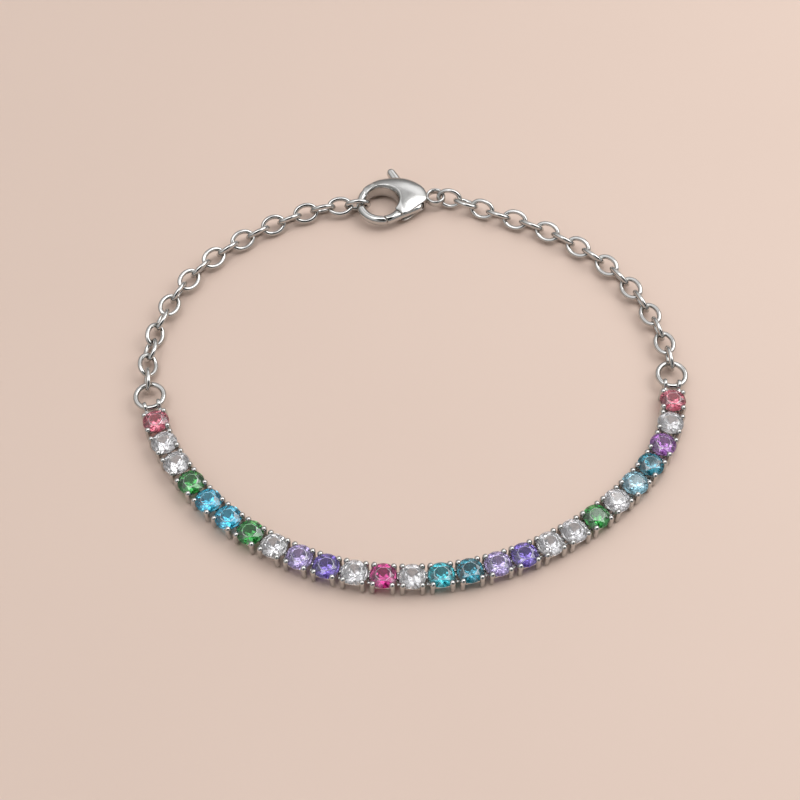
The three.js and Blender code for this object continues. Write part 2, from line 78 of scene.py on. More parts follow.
# The clasp body from above: shares of its length and of its rise. The last two points lie in the opening.
BODY_OUTLINE = (
    (-0.29, 0.62), (-0.18, 0.81), (0.0, 0.95), (0.2, 0.985), (0.38, 0.955), (0.55, 0.84), (0.7, 0.63),
    (0.825, 0.3), (0.825, -0.16), (0.6, -0.48), (0.425, -0.68), (0.335, -0.71), (0.25, -0.5), (-0.12, 0.1),
)

# The clasp body's dome: shares of its thickness, and the outline's size there.
BODY_DOME = (
    (0, 0.3), (0, 0.6), (0.01, 0.74), (0.04, 0.84), (0.1, 0.92), (0.19, 0.97), (0.3, 0.99), (0.42, 1.0),
    (0.56, 1.0), (0.76, 1.0), (0.8, 0.97), (0.835, 0.91), (0.87, 0.83), (0.9, 0.74), (0.932, 0.63),
    (0.96, 0.5), (0.982, 0.33), (1.0, 0.1),
)

# What opens the lever's slot towards the clasp's lower edge: round ends, each (x, y, radius) in millimetres.
SLOT_MOUTH = ((4.9, -1.65, 0.4), (2.5, -2.9, 0.4), (3.8, -1.6, 0.5))

# A claw's foot: shares of the post's radius, each with its height. Its dome: shares of a quarter turn.
CLAW_FOOT = ((0.6, 0.0), (0.85, 0.07), (0.97, 0.17), (1.0, 0.3))
CLAW_DOME = (0.0, 0.16, 0.34, 0.5, 0.64, 0.76, 0.87, 0.95, 0.99)

# The opening's cutter: shares of the body's thickness, and how much wider than the opening it is there.
OPENING_FLARE = (
    (-0.2, 0.7), (0.0, 0.45), (0.07, 0.26), (0.15, 0.13), (0.25, 0.04), (0.36, 0.0), (0.64, 0.0),
    (0.75, 0.04), (0.85, 0.13), (0.93, 0.26), (1.0, 0.45), (1.2, 0.7),
)


def length(name, millimetres, description):
    return FloatProperty(
        name=name, description=description, default=millimetres * MM, min=0, unit="LENGTH", precision=5,
    )


def angle(name, degrees, description):
    return FloatProperty(name=name, description=description, default=math.radians(degrees), subtype="ANGLE")


def colour(name, values, description):
    return FloatVectorProperty(
        name=name, description=description, default=values, size=3, min=0, max=1, subtype="COLOR",
    )


class StoneSizes(bpy.types.PropertyGroup):
    width: length("Width", 3.08, "Diameter of a stone at its girdle")
    table: length("Table", 1.76, "Width of the flat top from corner to corner")
    table_edge: length("Table edge", 0.075, "Width of the polished edge round the flat top")
    crown: length("Crown", 0.49, "Height of the crown over the girdle")
    pavilion: length("Pavilion", 1.3, "Depth from the girdle to the point")
    girdle: length("Girdle", 0.05, "Thickness of the polished girdle band")
    culet: length("Culet height", 0.41, "Height of the point above the floor")
    rose: colour("Rose", (0.87, 0.17, 0.26), "Colour of the stones at the row's two ends")
    clear: colour("Clear", (0.99, 0.98, 1.0), "Colour of the clear stones")
    green: colour("Green", (0.0, 0.36, 0.03), "Colour of the green stones")
    sky: colour("Sky", (0.05, 0.66, 0.97), "Colour of the sky-blue stones")
    lavender: colour("Lavender", (0.6, 0.48, 0.9), "Colour of the lavender stones")
    violet: colour("Violet", (0.24, 0.15, 0.7), "Colour of the violet stones")
    fuchsia: colour("Fuchsia", (0.74, 0.01, 0.3), "Colour of the fuchsia stone")
    aqua: colour("Aqua", (0.02, 0.62, 0.74), "Colour of the aqua stone")
    teal: colour("Teal", (0.0, 0.3, 0.42), "Colour of the teal stones")
    ice: colour("Ice", (0.42, 0.8, 0.96), "Colour of the ice-blue stone")
    orchid: colour("Orchid", (0.5, 0.16, 0.66), "Colour of the orchid stone")


class SettingSizes(bpy.types.PropertyGroup):
    pitch: length("Pitch", 3.22, "Distance from one stone to the next")
    claw_along: length("Claw along", 1.108, "Distance of a claw from the stone's middle along the row")
    claw_across: length("Claw across", 1.209, "Distance of a claw from the stone's middle across the row")
    post: length("Post radius", 0.33, "Radius of a claw's post")
    head: length("Head radius", 0.35, "Radius of a claw's domed head")
    top: length("Claw height", 2.2, "Height of a claw's top above the floor")
    lean: length("Claw lean", 0.07, "How far a claw's head leans over the stone")
    rail_height: length("Rail height", 1.2, "Height of the gallery rail")
    rail: length("Rail radius", 0.15, "Half the width of the gallery rail")
    hinge_height: length("Hinge height", 1.05, "Height of the hinge bar")
    hinge_bar: length("Hinge bar radius", 0.13, "Radius of the hinge bar")
    hinge_length: length("Hinge bar length", 1.64, "Length of the hinge bar")
    knuckle: length("Knuckle radius", 0.405, "Radius of the knuckle round the hinge bar")
    knuckle_wall: length("Knuckle wall", 0.085, "Half the knuckle's wall")
    knuckle_width: length("Knuckle width", 0.42, "Width of the knuckle along the hinge bar")


class RingSizes(bpy.types.PropertyGroup):
    radius: length("Radius", 1.675, "Radius of a jump ring's centre line")
    wire: length("Wire", 0.65, "Thickness of a jump ring's wire")
    height: length("Height", 1.25, "Height of a jump ring above the floor")
    reach: length("Reach", 2.3, "Distance from the end stone's middle to the ring's inner edge")
    ear_spacing: length("Ear spacing", 1.66, "Distance between the two ears that hold a jump ring")
    ear_width: length("Ear width", 0.52, "Thickness of an ear")
    ear_radius: length("Ear radius", 0.54, "Radius of an ear's rounded rim")
    ear_wall: length("Ear wall", 0.18, "Half the wall of an ear")


class ChainSizes(bpy.types.PropertyGroup):
    pitch: length("Pitch", 2.3, "Distance from one link to the next")
    wire: length("Wire", 0.6, "Thickness of a link's wire")
    width: length("Width", 2.7, "Width of a link")
    lean: angle("Lean", 38, "How far the links' faces lean to the front")
    ring_twist: angle("Twist at the ring", 38, "How far the left chain rolls behind its jump ring")
    hook_twist: angle("Twist at the hook", -28, "How far the left chain rolls at the hook")
    eye_twist: angle("Twist at the eye", 22, "How far the right chain rolls at the clasp's eye")
    end_gap: length("End gap", 0.16, "Play between a chain's end and what it hangs in")


class ClaspSizes(bpy.types.PropertyGroup):
    reach: length("Reach", 7.2, "Distance from the opening's middle to the eye's middle")
    rise: length("Rise", 3.8, "Distance from the opening's middle to the crown")
    thickness: length("Thickness", 2.7, "Thickness of the body")
    opening: length("Opening radius", 2.15, "Radius of the opening in the hook")
    wire: length("Hook wire", 1.2, "Thickness of the hook and the gate")
    hook_root: angle("Hook root", 104, "Where the hook leaves the body")
    split: angle("Split", -89, "Where the hook meets the gate")
    split_gap: length("Split gap", 0.12, "Gap between the hook and the gate")
    gate_root: angle("Gate root", -56, "Where the gate joins the lever")
    hook_pull: angle("Hook pull", 170, "Where the chain pulls on the hook")
    eye_radius: length("Eye radius", 1.09, "Radius of the eye's centre line")
    eye_wire: length("Eye wire", 0.52, "Thickness of the eye's wire")
    eye_seat: length("Eye seat", 0.89, "Distance from the eye's middle to the chain's outermost place in it")
    pivot_along: length("Pivot along", 4.2, "Distance of the pivot from the opening along the clasp")
    pivot_drop: length("Pivot drop", 0.8, "Distance of the pivot below the clasp's centre line")
    hub: length("Hub radius", 1.2, "Radius of the lever's hub")
    pin: length("Pin radius", 0.4, "Radius of the pin")
    gap: length("Lever gap", 0.08, "Gap round the lever")
    swing: angle("Swing", 22, "How far the lever opens")
    thumb_along: length("Thumb along", 2.15, "Place of the thumb piece along the clasp")
    thumb_rise: length("Thumb rise", 5.1, "Place of the thumb piece across the clasp")
    thumb: length("Thumb radius", 0.6, "Radius of the thumb piece")
    grain: length("Grain", 0.075, "Size of the cells that the cast shape is worked out in")


class SilverLook(bpy.types.PropertyGroup):
    bright: colour("Bright", (0.6, 0.595, 0.58), "Colour of the polished silver")
    worn: colour("Worn", (0.52, 0.51, 0.49), "Colour of the silver where the polish is older")


class StageLook(bpy.types.PropertyGroup):
    floor: colour("Floor", (0.735, 0.57, 0.478), "Colour of the floor")
    key: FloatProperty(name="Key light", description="Power of the key light", default=0.4, unit="POWER")
    distance: length("Camera distance", 168.75, "Distance of the camera from what it looks at")
    elevation: angle("Camera elevation", 57, "Height angle of the camera")


GROUPS = {
    "bracelet_stones": StoneSizes,
    "bracelet_settings": SettingSizes,
    "bracelet_rings": RingSizes,
    "bracelet_chains": ChainSizes,
    "bracelet_clasp": ClaspSizes,
    "bracelet_silver": SilverLook,
    "bracelet_stage": StageLook,
}


def sizes_of(name):
    """The values of a property group, with its lengths in millimetres."""
    group = getattr(bpy.context.scene, name)
    values = {}
    for prop in group.bl_rna.properties:
        if prop.identifier in ("rna_type", "name"):
            continue
        value = getattr(group, prop.identifier)
        values[prop.identifier] = value / MM if getattr(prop, "unit", "NONE") == "LENGTH" else value
    return SimpleNamespace(**values)


class Wire:
    """A shader socket on which Python's arithmetic adds Math nodes."""

    def __init__(self, shader, socket):
        self.shader = shader
        self.socket = socket

    def maths(self, operation, first, second=0.0, clamp=False):
        settings = {"operation": operation, "use_clamp": clamp}
        return self.shader.node("ShaderNodeMath", settings, {0: first, 1: second})

    def __add__(self, other):
        return self.maths("ADD", self, other)

    __radd__ = __add__

    def __sub__(self, other):
        return self.maths("SUBTRACT", self, other)

    def __rsub__(self, other):
        return self.maths("SUBTRACT", other, self)

    def __mul__(self, other):
        return self.maths("MULTIPLY", self, other)

    def __truediv__(self, other):
        return self.maths("DIVIDE", self, other)

    def __pow__(self, other):
        return self.maths("POWER", self, other)

    def clamped(self):
        return self.maths("ADD", self, 0.0, clamp=True)


class Shader:
    """The nodes of a material or a world. Its node method adds every kind of node."""

    def __init__(self, owner):
        self.owner = owner
        owner.use_nodes = True
        self.tree = owner.node_tree
        self.tree.nodes.clear()

    def node(self, kind, settings=None, inputs=None, output=0):
        made = self.tree.nodes.new(kind)
        for key, value in (settings or {}).items():
            if key == "stops":
                ramp = made.color_ramp.elements
                while len(ramp) < len(value):
                    ramp.new(0.5)
                for stop, (place, tone) in zip(ramp, value):
                    stop.position = place
                    stop.color = tone
            else:
                setattr(made, key, value)
        for key, value in (inputs or {}).items():
            if isinstance(value, Wire):
                self.tree.links.new(value.socket, made.inputs[key])
            else:
                made.inputs[key].default_value = value
        return Wire(self, made.outputs[output]) if made.outputs else None

    def place(self):
        return self.node("ShaderNodeTexCoord", output="Object")

    def noise(self, scale, detail=2.0, stretch=None):
        """Noise with scale cells a millimetre."""
        where = self.place()
        if stretch:
            where = self.node("ShaderNodeVectorMath", {"operation": "MULTIPLY"}, {0: where, 1: stretch})
        return self.node("ShaderNodeTexNoise", None, {"Vector": where, "Scale": scale / MM, "Detail": detail})

    def height(self):
        """Height above the floor, in millimetres."""
        return self.node("ShaderNodeSeparateXYZ", None, {0: self.place()}, output="Z") / MM

    def mix(self, share, first, second):
        first, second = ((*tone, 1.0) if isinstance(tone, tuple) else tone for tone in (first, second))
        return self.node("ShaderNodeMix", {"data_type": "RGBA"}, {0: share, 6: first, 7: second}, output=2)

    def bump(self, height, distance):
        inputs = {"Height": height, "Distance": distance * MM, "Strength": 1.0}
        return self.node("ShaderNodeBump", None, inputs)

    def surface(self, **inputs):
        named = {key.replace("_", " ").title(): value for key, value in inputs.items()}
        named = {key.replace("Ior", "IOR"): value for key, value in named.items()}
        shader = self.node("ShaderNodeBsdfPrincipled", None, named)
        self.node("ShaderNodeOutputMaterial", None, {"Surface": shader})
        return self.owner


def polished_silver(name, roughness, ripple):
    """Bright silver: faint wear, a polish that varies, and a shallow ripple left by the polishing wheel."""
    look = bpy.context.scene.bracelet_silver
    silver = Shader(bpy.data.materials.new(name))
    wear = silver.noise(0.55, 4.0)
    hairlines = silver.noise(3.2, 3.0, (1.0, 0.18, 1.0))
    tone = silver.mix((wear * 1.6 - 0.45).clamped(), tuple(look.bright), tuple(look.worn))
    shine = roughness + (wear - 0.3) * 0.09 + hairlines * 0.05
    return silver.surface(
        base_color=tone,
        metallic=1.0,
        roughness=shine.clamped(),
        normal=silver.bump(silver.noise(1.5, 2.0), ripple),
    )


def gemstone(name, tone):
    """A faceted stone: its colour gathers towards the point, and a painted highlight, a pale partly metallic
    line, runs round its table.
    """
    sizes = sizes_of("bracelet_stones")
    stone = Shader(bpy.data.materials.new(name))
    point, point_to_table = 0.4, 1.8
    depth = (1.0 - (stone.height() - point) / point_to_table).clamped()
    zones = stone.noise(0.9, 1.0)
    pale = tuple(1 - (1 - part) * 0.92 for part in tone)
    body = stone.mix((depth * 0.75 + zones * 0.5).clamped(), pale, tone)
    table = sizes.culet + sizes.pavilion + sizes.girdle / 2 + sizes.crown
    # Painted highlight: a white, partly metallic, rougher line round the table's edge stands in for the
    # bright ring that the polished edge reflects.
    off = stone.height() - (table - sizes.table_edge * 0.3)
    painted_glint_sharpness = 8.5 / sizes.table_edge
    line = (2.6 - (off * off) ** 0.5 * painted_glint_sharpness).clamped()
    haze = 0.08 + 0.06 * min(tone)
    return stone.surface(
        base_color=stone.mix(line, body, (1.0, 1.0, 1.0)),
        roughness=stone.noise(2.0, 1.0) * 0.02 + line * 0.5,
        metallic=line * 0.6,
        ior=1.9,
        transmission_weight=1 - haze,
    )


def pale_floor():
    """A plain matt floor, a little uneven in tone."""
    tone = tuple(bpy.context.scene.bracelet_stage.floor)
    floor = Shader(bpy.data.materials.new("pale_floor"))
    shade = floor.noise(0.02, 3.0)
    return floor.surface(
        base_color=floor.mix(shade, tone, tuple(part * 0.965 for part in tone)),
        roughness=0.5 + shade * 0.2,
    )


class Surface:
    """Corners and faces that grow into one mesh, in millimetres."""

    def __init__(self):
        self.corners = []
        self.faces = []

    def add(self, corners, faces, place=Matrix()):
        start = len(self.corners)
        self.corners += [place @ Vector(corner) for corner in corners]
        self.faces += [tuple(start + index for index in face) for face in faces]
        return self

    def join(self, other, place=Matrix()):
        return self.add(other.corners, other.faces, place)

    def mesh(self, name):
        mesh = bpy.data.meshes.new(name)
        mesh.from_pydata(self.corners, [], self.faces)
        mesh.validate()
        mesh.update()
        return mesh


def loft(rings, closed=False):
    """A skin over rings of equally many points each."""
    surface = Surface()
    count = len(rings[0])
    faces = []
    spans = len(rings) if closed else len(rings) - 1
    for row in range(spans):
        here = row * count
        there = ((row + 1) % len(rings)) * count
        for i in range(count):
            j = (i + 1) % count
            faces.append((here + i, here + j, there + j, there + i))
    if not closed:
        faces.append(tuple(reversed(range(count))))
        faces.append(tuple((len(rings) - 1) * count + i for i in range(count)))
    return surface.add([point for ring in rings for point in ring], faces)


def circle(radius, sides):
    return [(radius * math.cos(TURN * i / sides), radius * math.sin(TURN * i / sides)) for i in range(sides)]


def lathe(profile, sides):
    """A profile of radii and heights turned round the z axis."""
    return loft([[(x, y, height) for x, y in circle(radius, sides)] for radius, height in profile])


def closed_wire(path, radius, sides, flat):
    """A wire along a closed level path. flat is its height as a share of its width."""
    path = [Vector(point) for point in path]
    rings = []
    for i, point in enumerate(path):
        ahead = (path[(i + 1) % len(path)] - path[i - 1]).normalized()
        side = ahead.cross(Vector((0, 0, 1))).normalized()
        up = side.cross(ahead)
        rings.append([point + side * x + up * y * flat for x, y in circle(radius, sides)])
    return loft(rings, closed=True)


def rounded_rod(start, end, radius):
    """A rod with rounded ends."""
    start, end = Vector(start), Vector(end)
    ahead = (end - start).normalized()
    place = Matrix.Translation(start) @ ahead.to_track_quat("Z", "Y").to_matrix().to_4x4()
    reach = (end - start).length
    soft = radius * 0.5
    profile = [(radius * 0.01, 0)]
    for share in (0.25, 0.5, 0.75, 1.0):
        swing = share * math.pi / 2
        profile.append((radius - soft + soft * math.sin(swing), soft * (1 - math.cos(swing))))
    profile += [(r, reach - z) for r, z in reversed(profile)]
    return Surface().join(lathe(profile, 16), place)


def oval_link(reach_x, reach_y, wire, steps, sides):
    """A wire loop whose centre line reaches reach_x and reach_y."""
    rings = []
    for step in range(steps):
        x, y = math.cos(TURN * step / steps), math.sin(TURN * step / steps)
        rings.append([
            ((reach_x + out) * x, (reach_y + out) * y, up) for out, up in circle(wire / 2, sides)
        ])
    return loft(rings, closed=True)


def band(radius, wall, width, sides=28):
    """A rounded band round the y axis: wall is half its wall, width its width along y."""
    section = [(radius + wall * out, width / 2 * up) for out, up in circle(1.0, 12)]
    rings = [[(reach * x, y, reach * z) for reach, y in section] for x, z in circle(1.0, sides)]
    return loft(rings, closed=True)


def rounded_frame(half_x, half_y, corner, z):
    """A rectangle with rounded corners, as a path."""
    steps = 5
    path = []
    for quarter, (sx, sy) in enumerate(((1, 1), (-1, 1), (-1, -1), (1, -1))):
        for step in range(steps):
            swing = (quarter + step / (steps - 1)) * math.pi / 2
            path.append((
                sx * (half_x - corner) + corner * math.cos(swing),
                sy * (half_y - corner) + corner * math.sin(swing),
                z,
            ))
    return path


def brilliant(sizes):
    """A round brilliant cut: table, stars, kites, girdle facets, a girdle band, pavilion and point."""
    girdle, table = sizes.width / 2, sizes.table / 2
    half_band = sizes.girdle / 2
    per_half = 4
    count = 16 * per_half
    eighth = TURN / 8
    star_reach = table + (girdle - table) * 0.54
    mid_reach = girdle * 0.24

    def kite_height(reach, off):
        return half_band + sizes.crown * (girdle - reach * math.cos(off)) / (girdle - table)

    def main_height(reach, off):
        return -half_band - sizes.pavilion * (1 - reach * math.cos(off) / girdle)

    def polar(reach, swing, z):
        return Vector((reach * math.cos(swing), reach * math.sin(swing), z))

    def plane_height(a, b, c, x, y):
        normal = (b - a).cross(c - a)
        return a.z - (normal.x * (x - a.x) + normal.y * (y - a.y)) / normal.z

    corners = [polar(table, k * eighth, half_band + sizes.crown - sizes.table_edge * 0.6) for k in range(8)]
    corners += [polar(star_reach, (k + 0.5) * eighth, kite_height(star_reach, eighth / 2)) for k in range(8)]
    corners += [polar(mid_reach, (k + 0.5) * eighth, main_height(mid_reach, eighth / 2)) for k in range(8)]
    point = len(corners)
    corners.append(Vector((0, 0, -half_band - sizes.pavilion)))
    upper = len(corners)
    for side, base in ((1, 8), (-1, 16)):
        for i in range(count):
            swing = TURN * i / count
            half = i // per_half
            ends = [polar(girdle, TURN * (half + j) / 16, side * half_band) for j in (0, 1)]
            peak = corners[base + (half // 2) % 8]
            spot = polar(girdle, swing, 0)
            spot.z = plane_height(peak, ends[0], ends[1], spot.x, spot.y)
            corners.append(spot)
    lower = upper + count
    inner = len(corners)
    corners += [polar(table - sizes.table_edge, k * eighth, half_band + sizes.crown) for k in range(8)]
    faces = [tuple(range(inner, inner + 8))]
    for k in range(8):
        faces.append((k, (k + 1) % 8, inner + (k + 1) % 8, inner + k))
        faces.append((k, 8 + k, (k + 1) % 8))
        faces.append((k, 8 + (k - 1) % 8, upper + (2 * k) * per_half, 8 + k))
        faces.append((point, 16 + k, lower + (2 * k) * per_half, 16 + (k - 1) % 8))
    for half in range(16):
        peak = (half // 2) % 8
        run = [(half * per_half + step) % count for step in range(per_half + 1)]
        faces.append((8 + peak, *[upper + i for i in run]))
        faces.append((16 + peak, *[lower + i for i in reversed(run)]))
    for i in range(count):
        j = (i + 1) % count
        faces.append((upper + i, lower + i, lower + j, upper + j))
    return Surface().add(corners, faces)


def spline_point(points, t):
    """A point of a closed centripetal spline through the points, at t turns."""
    count = len(points)
    spot = (t % 1) * count
    index = int(spot)
    share = spot - index
    p0, p1, p2, p3 = (points[(index + k) % count] for k in (-1, 0, 1, 2))
    d0, d1, d2 = ((b - a).length ** 0.5 for a, b in ((p0, p1), (p1, p2), (p2, p3)))
    t1 = ((p1 - p0) / d0 - (p2 - p0) / (d0 + d1) + (p2 - p1) / d1) * d1
    t2 = ((p2 - p1) / d1 - (p3 - p1) / (d1 + d2) + (p3 - p2) / d2) * d1
    cubic = 2 * p1 - 2 * p2 + t1 + t2
    square = -3 * p1 + 3 * p2 - 2 * t1 - t2
    return p1 + t1 * share + square * share ** 2 + cubic * share ** 3


def walk(points, steps):
    """Walks round the route in straight steps. Returns the joints between them and the turns walked."""
    stride, halvings = 0.002, 22
    joints = [spline_point(points, 0)]
    t = 0.0
    for step in steps:
        near, far = t, t + stride
        while (spline_point(points, far) - joints[-1]).length < step:
            near, far = far, far + stride
        for _ in range(halvings):
            middle = (near + far) / 2
            if (spline_point(points, middle) - joints[-1]).length < step:
                near = middle
            else:
                far = middle
        t = far
        joints.append(spline_point(points, t))
    return joints, t


def basis(centre, ahead, normal):
    """A place with x ahead and z along the normal."""
    across = normal.cross(ahead)
    place = Matrix((ahead, across, normal)).transposed().to_4x4()
    place.translation = centre
    return place


class Loop:
    """Where every piece of the closed bracelet lies, in millimetres in the row frame."""

    def __init__(self):
        setting, ring = sizes_of("bracelet_settings"), sizes_of("bracelet_rings")
        chain, clasp = sizes_of("bracelet_chains"), sizes_of("bracelet_clasp")
        self.setting, self.ring, self.chain, self.clasp = setting, ring, chain, clasp
        hook = clasp.opening - chain.end_gap
        self.hook = Vector((hook * math.cos(clasp.hook_pull), hook * math.sin(clasp.hook_pull), 0))
        self.eye = Vector((clasp.reach + clasp.eye_seat - chain.end_gap, 0, 0))
        ring_centre = ring.reach + ring.radius
        end_step = setting.pitch / 2 + ring_centre + ring.radius - ring.wire / 2 - chain.end_gap
        steps = [(self.eye - self.hook).length]
        steps += [chain.pitch] * RIGHT_LINKS + [end_step]
        steps += [setting.pitch] * (len(STONE_ROW) - 2) + [end_step] + [chain.pitch] * LEFT_LINKS
        small, large = 0.95, 1.05
        route = [Vector((*point, 0)) for point in ROUTE]
        for _ in range(24):
            factor = (small + large) / 2
            if walk([point * factor for point in route], steps)[1] > 1:
                small = factor
            else:
                large = factor
        self.joints = walk([point * factor for point in route], steps)[0]
        low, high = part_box("stone_13")
        middle = (Vector(low) + Vector(high)) / 2 / MM
        drift = middle - self.setting_place(13).translation
        drift.z = 0
        self.joints = [joint + drift for joint in self.joints]

    def ahead(self, step):
        return (self.joints[step + 1] - self.joints[step]).normalized()

    def setting_place(self, number):
        """The place of a stone's setting. The row is walked from stone 26 to stone 1."""
        position = len(STONE_ROW) - number
        step = 1 + RIGHT_LINKS + position
        ahead = self.ahead(step)
        half = ahead * (self.setting.pitch / 2)
        centre = self.joints[step + 1] - half if position == 0 else self.joints[step] + half
        return basis(centre, ahead, Vector((0, 0, 1)))

    def link_places(self, first_step, count, first_is_face, twist, lift):
        """Links lie taut with their faces leaning to the front, each a quarter turn from the next."""
        chain = self.chain
        lean = Vector((0, -math.sin(chain.lean), math.cos(chain.lean)))
        places = []
        for i in range(count):
            ahead = self.ahead(first_step + i)
            normal = (lean - ahead * lean.dot(ahead)).normalized()
            normal = Matrix.Rotation(twist(i), 3, ahead) @ normal
            side = normal.cross(ahead)
            half = (chain.width - chain.wire) / 2
            rest = chain.wire / 2 + half * max(abs(normal.z), abs(side.z))
            centre = (self.joints[first_step + i] + self.joints[first_step + i + 1]) / 2
            centre.z = rest + (self.clasp.thickness / 2 - rest) * lift(i)
            is_face = (i % 2 == 0) == first_is_face
            places.append(basis(centre, ahead, normal if is_face else side))
        return places

    def right_links(self):
        return self.link_places(
            1, RIGHT_LINKS, True,
            lambda i: self.chain.eye_twist * max(0, 1 - i / LIFTED_LINKS),
            lambda i: max(0, 1 - (i + 0.5) / LIFTED_LINKS),
        )

    def left_links(self):
        def twist(i):
            from_ring = (i + 1) / RING_TWIST_LINKS
            from_hook = (LEFT_LINKS - i - 0.5) / LIFTED_LINKS
            roll = self.chain.ring_twist * math.sin(math.pi * from_ring) if from_ring < 1 else 0
            return roll + self.chain.hook_twist * max(0, 1 - from_hook)

        return self.link_places(
            1 + RIGHT_LINKS + len(STONE_ROW), LEFT_LINKS, False, twist,
            lambda i: max(0, 1 - (LEFT_LINKS - i - 0.5) / LIFTED_LINKS),
        )

    def clasp_place(self):
        ahead, line = self.ahead(0), self.eye - self.hook
        turn = math.atan2(ahead.y, ahead.x) - math.atan2(line.y, line.x)
        rolled = Matrix.Rotation(turn, 4, "Z") @ Matrix.Translation(-self.hook)
        return Matrix.Translation(self.joints[0]) @ rolled


def finish_piece(surface, name, material, node, place=Matrix(), smooth=None, body="bracelet"):
    """Puts a surface made in millimetres in its place and ties it to the body it moves with."""
    mesh = surface.mesh(name)
    mesh.transform(Matrix.Scale(MM, 4) @ place)
    mesh.materials.append(material)
    if smooth is None:
        mesh.shade_flat()
    else:
        mesh.shade_smooth()
        mesh.set_sharp_from_angle(angle=math.radians(smooth))
    piece = linked_object(name, mesh)
    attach(piece, body)
    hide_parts(node)


def claw_surface(setting):
    """One claw on the z axis, and the share of the lean that each of its corners takes."""
    post, head, top = setting.post, setting.head, setting.top
    shoulder = top - 1.5 * head
    widening = 0.35
    profile = [(0.02, 0.0)]
    profile += [(post * share, height) for share, height in CLAW_FOOT]
    for share in (0, 0.3, 0.7):
        profile.append((post + (head - post) * share, shoulder - widening + widening * share))
    for share in CLAW_DOME:
        swing = share * math.pi / 2
        rise = 0.35 + 0.65 * math.sin(swing)
        profile.append((head * math.cos(swing), shoulder + (top - shoulder) * rise))
    claw = lathe(profile, 20)
    leans = [max(0.0, (corner.z - shoulder) / (top - shoulder)) for corner in claw.corners]
    return claw, leans


def hinge_surface(setting, kind, side):
    """What holds a setting to its neighbour: a fork with a bar, or the lug that turns round that bar."""
    surface = Surface()
    bar_x, z, half = setting.pitch / 2, setting.hinge_height, setting.hinge_length / 2
    claw_x = setting.claw_along - 0.1
    if kind == "fork":
        surface.join(rounded_rod((bar_x, -half, z), (bar_x, half, z), setting.hinge_bar))
        for arm_y in (0.16 - half, half - 0.16):
            arm = rounded_rod((claw_x, arm_y, z), (bar_x + 0.1, arm_y, z), setting.hinge_bar * 1.1)
            surface.join(arm)
    else:
        knuckle = band(setting.knuckle, setting.knuckle_wall, setting.knuckle_width)
        surface.join(knuckle, Matrix.Translation((side * bar_x, 0, z)))
        knuckle_x = bar_x - setting.knuckle + 0.02
        thickness = setting.knuckle_width * 0.45
        surface.join(rounded_rod((side * claw_x, 0, z), (side * knuckle_x, 0, z), thickness))
    return surface


def ears_surface(ring, side):
    """The two ears at an end of the row, and the bar between them."""
    surface = Surface()
    half, z = ring.ear_spacing / 2, ring.height
    bar_x = side * 1.6
    surface.join(rounded_rod((bar_x, -half, z + 0.1), (bar_x, half, z + 0.1), 0.13))
    ear_x = ring.reach + ring.radius - math.sqrt(ring.radius ** 2 - half ** 2)
    rim_x = ear_x - ring.ear_radius + 0.03
    ear = band(ring.ear_radius, ring.ear_wall, ring.ear_width, 32)
    for y in (-half, half):
        surface.join(ear, Matrix.Translation((side * ear_x, y, z)))
        surface.join(rounded_rod((side * 0.95, y, z - 0.1), (side * rim_x, y, z), ring.ear_width / 2))
    return surface


def setting_surface(setting, ring, back, front):
    """One setting: four claws, a gallery rail, and a hinge or ears at each end."""
    surface = Surface()
    claw, leans = claw_surface(setting)
    for sx in (-1, 1):
        for sy in (-1, 1):
            place = Matrix.Translation((sx * setting.claw_along, sy * setting.claw_across, 0))
            inwards = Vector((-sx * setting.claw_along, -sy * setting.claw_across, 0)).normalized()
            corners = [corner + inwards * setting.lean * lean for corner, lean in zip(claw.corners, leans)]
            surface.add(corners, claw.faces, place)
    rail = rounded_frame(setting.claw_along - 0.06, setting.claw_across - 0.02, 0.3, setting.rail_height)
    surface.join(closed_wire(rail, setting.rail, 12, 1.5))
    for kind, side in ((back, -1), (front, 1)):
        if kind == "ears":
            surface.join(ears_surface(ring, side))
        else:
            surface.join(hinge_surface(setting, kind, side))
    return surface


def body_surface(clasp):
    """The clasp's domed body as a solid shell."""
    corners = [Vector((a * clasp.reach, r * clasp.rise, 0)) for a, r in BODY_OUTLINE]
    total = 6 * len(corners)
    outline = [spline_point(corners, i / total) for i in range(total)]
    outer = BODY_OUTLINE[:-2]
    middle = Vector((
        sum(a for a, _ in outer) / len(outer) * clasp.reach,
        sum(r for _, r in outer) / len(outer) * clasp.rise,
        0,
    ))
    rings = []
    for height, size in BODY_DOME:
        ring = [middle + (spot - middle) * size for spot in outline]
        rings.append([(spot.x, spot.y, height * clasp.thickness) for spot in ring])
    return loft(rings)


def arc_wire(clasp, start, end, cut_at_start, side, root=0.0):
    """The hook's or the gate's wire, with one end cut along the split. root is how much its start swells."""
    path_radius = clasp.opening + clasp.wire / 2
    z = clasp.thickness / 2
    split = Vector((path_radius * math.cos(clasp.split), path_radius * math.sin(clasp.split), z))
    pivot = Vector((clasp.pivot_along, -clasp.pivot_drop, z))
    normal = (split - pivot).normalized()
    face = split + normal * side * clasp.split_gap / 2
    steps, steps_swollen, oval = 40, 12.5, 1.12
    rings = []
    for step in range(steps + 1):
        swing = start + (end - start) * step / steps
        out = Vector((math.cos(swing), math.sin(swing), 0))
        extra = root * max(0.0, 1 - step / steps_swollen) ** 1.5
        centre = out * (path_radius + extra * 0.08) + Vector((0, 0, z))
        rings.append([
            centre + out * x * (1 + extra * 0.12) + Vector((0, 0, (oval + extra) * y))
            for x, y in circle(clasp.wire / 2, 24)
        ])
    index = 0 if cut_at_start else steps
    swing = start if cut_at_start else end
    ahead = Vector((-math.sin(swing), math.cos(swing), 0))
    rings[index] = [spot + ahead * (face - spot).dot(normal) / ahead.dot(normal) for spot in rings[index]]
    return loft(rings)


